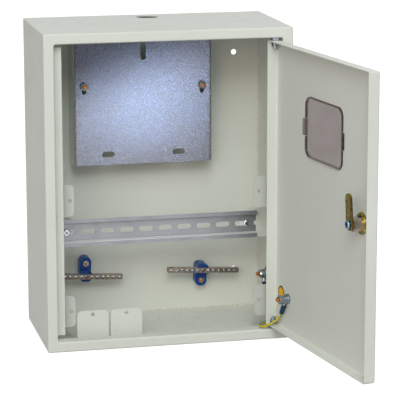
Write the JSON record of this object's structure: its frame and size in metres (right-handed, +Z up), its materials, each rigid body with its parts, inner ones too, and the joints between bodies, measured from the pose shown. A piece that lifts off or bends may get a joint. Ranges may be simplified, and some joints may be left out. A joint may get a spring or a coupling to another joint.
{
  "type": "electric meter box",
  "caption": "Wall-mounted sheet steel electric meter box with a hinged door, window, cam lock, meter plate, mounting rail, terminal bars and a bonding wire.",
  "frame": {"origin": "centre of the four wall holes, on the back face that meets the wall", "axes": "+Z up, +Y into the wall, +X to the right seen from the front; the door opens towards -Y"},
  "size_m": [0.3364, 0.4295, 0.395],
  "materials": {
    "powder_coat": "satin powder coat",
    "galvanised": "spangled zinc",
    "zinc": "zinc plated",
    "copper_stud": "copper plated steel",
    "insulator_blue": "moulded",
    "brass_bar": "drawn",
    "sleeve_blue": "shrunk sleeve",
    "wire_yellow": "insulated wire",
    "smoke_pane": "smoky clear plastic",
    "nickel": "nickel plated",
    "yellow_zinc": "yellow zinc plated"
  },
  "bodies": {
    "cabinet": {"cabinet_shell": "powder_coat", "cabinet_top": "powder_coat", "cabinet_bottom": "powder_coat", "upper_left_tab": "powder_coat", "lower_left_tab": "powder_coat", "upper_right_tab": "powder_coat", "lower_right_tab": "powder_coat", "bottom_tab_one": "powder_coat", "bottom_tab_two": "powder_coat", "left_rail_bracket": "powder_coat", "right_rail_bracket": "powder_coat", "mounting_rail": "galvanised", "rail_screws": "zinc", "meter_plate": "galvanised", "plate_studs": "copper_stud", "plate_nuts": "zinc", "left_insulator": "insulator_blue", "right_insulator": "insulator_blue", "left_bar": "brass_bar", "right_bar": "brass_bar", "left_bar_screws": "zinc", "right_bar_screws": "zinc", "bar_fixing_screws": "zinc", "insulator_studs": "copper_stud", "insulator_nuts": "zinc", "wall_earth_stud": "copper_stud", "wall_earth_washers": "zinc", "wall_earth_nut": "zinc", "wall_earth_lug": "zinc", "wall_earth_sleeve": "sleeve_blue", "earth_wire": "wire_yellow"},
    "door": {"door_pan": "powder_coat", "window_pane": "smoke_pane", "hinge_pins": "zinc", "hinge_spacers": "zinc", "hinge_nuts": "zinc", "lock_body": "nickel", "lock_nut": "yellow_zinc", "door_earth_stud": "copper_stud", "door_earth_washers": "zinc", "door_earth_nut": "zinc", "door_earth_lug": "zinc", "door_earth_sleeve": "sleeve_blue"},
    "lock": {"lock_plug": "nickel", "lock_cam": "yellow_zinc", "cam_screw": "zinc"}
  },
  "joints": [
    {"name": "door_hinge", "type": "hinge", "parent": "cabinet", "child": "door", "pos_m": [0.1335, -0.1585, 0], "axis": [0, 0, 1], "range_deg": [-98.8, 8], "deforming": ["earth_wire"]},
    {"name": "lock_turn", "type": "hinge", "parent": "door", "child": "lock", "pos_m": [0.16976, -0.39271, 0], "axis": [0.9882, 0.153, 0], "range_deg": [0, 96]}
  ]
}
